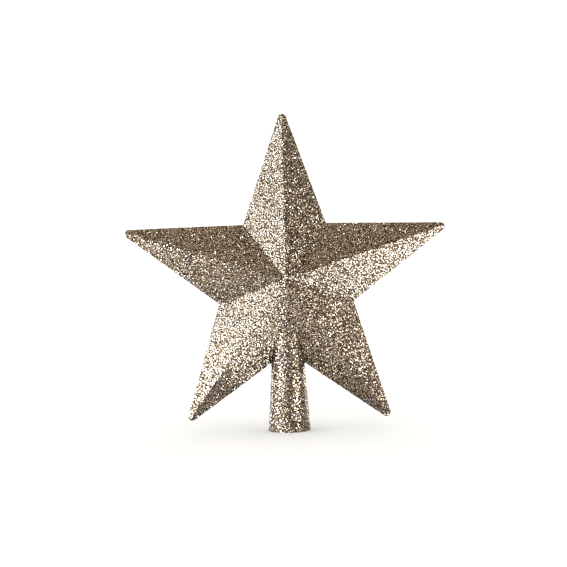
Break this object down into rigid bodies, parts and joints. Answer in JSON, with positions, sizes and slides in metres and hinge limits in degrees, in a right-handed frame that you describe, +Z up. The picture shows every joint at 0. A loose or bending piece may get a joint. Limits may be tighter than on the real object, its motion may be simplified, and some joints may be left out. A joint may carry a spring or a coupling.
{
  "type": "christmas tree topper star",
  "caption": "Faceted hollow star covered in champagne glitter, on a tapered open socket that slips over the top shoot of a Christmas tree.",
  "frame": {"origin": "middle of the socket's mouth, on the plane that the topper stands on", "axes": "+Z up the socket to the star's top arm, -Y out of the star's front, +X to the right seen from the front"},
  "size_m": [0.1918, 0.044, 0.19],
  "materials": {
    "shell_plastic": "moulded, satin, champagne coloured through",
    "cement": "dried clear solvent cement",
    "glitter": "champagne metallic glitter flakes set in clear lacquer"
  },
  "bodies": {
    "root": {"front_half_shell": "shell_plastic", "rear_half_shell": "shell_plastic", "seam_cement": "cement", "glitter_coat": "glitter"}
  },
  "joints": []
}
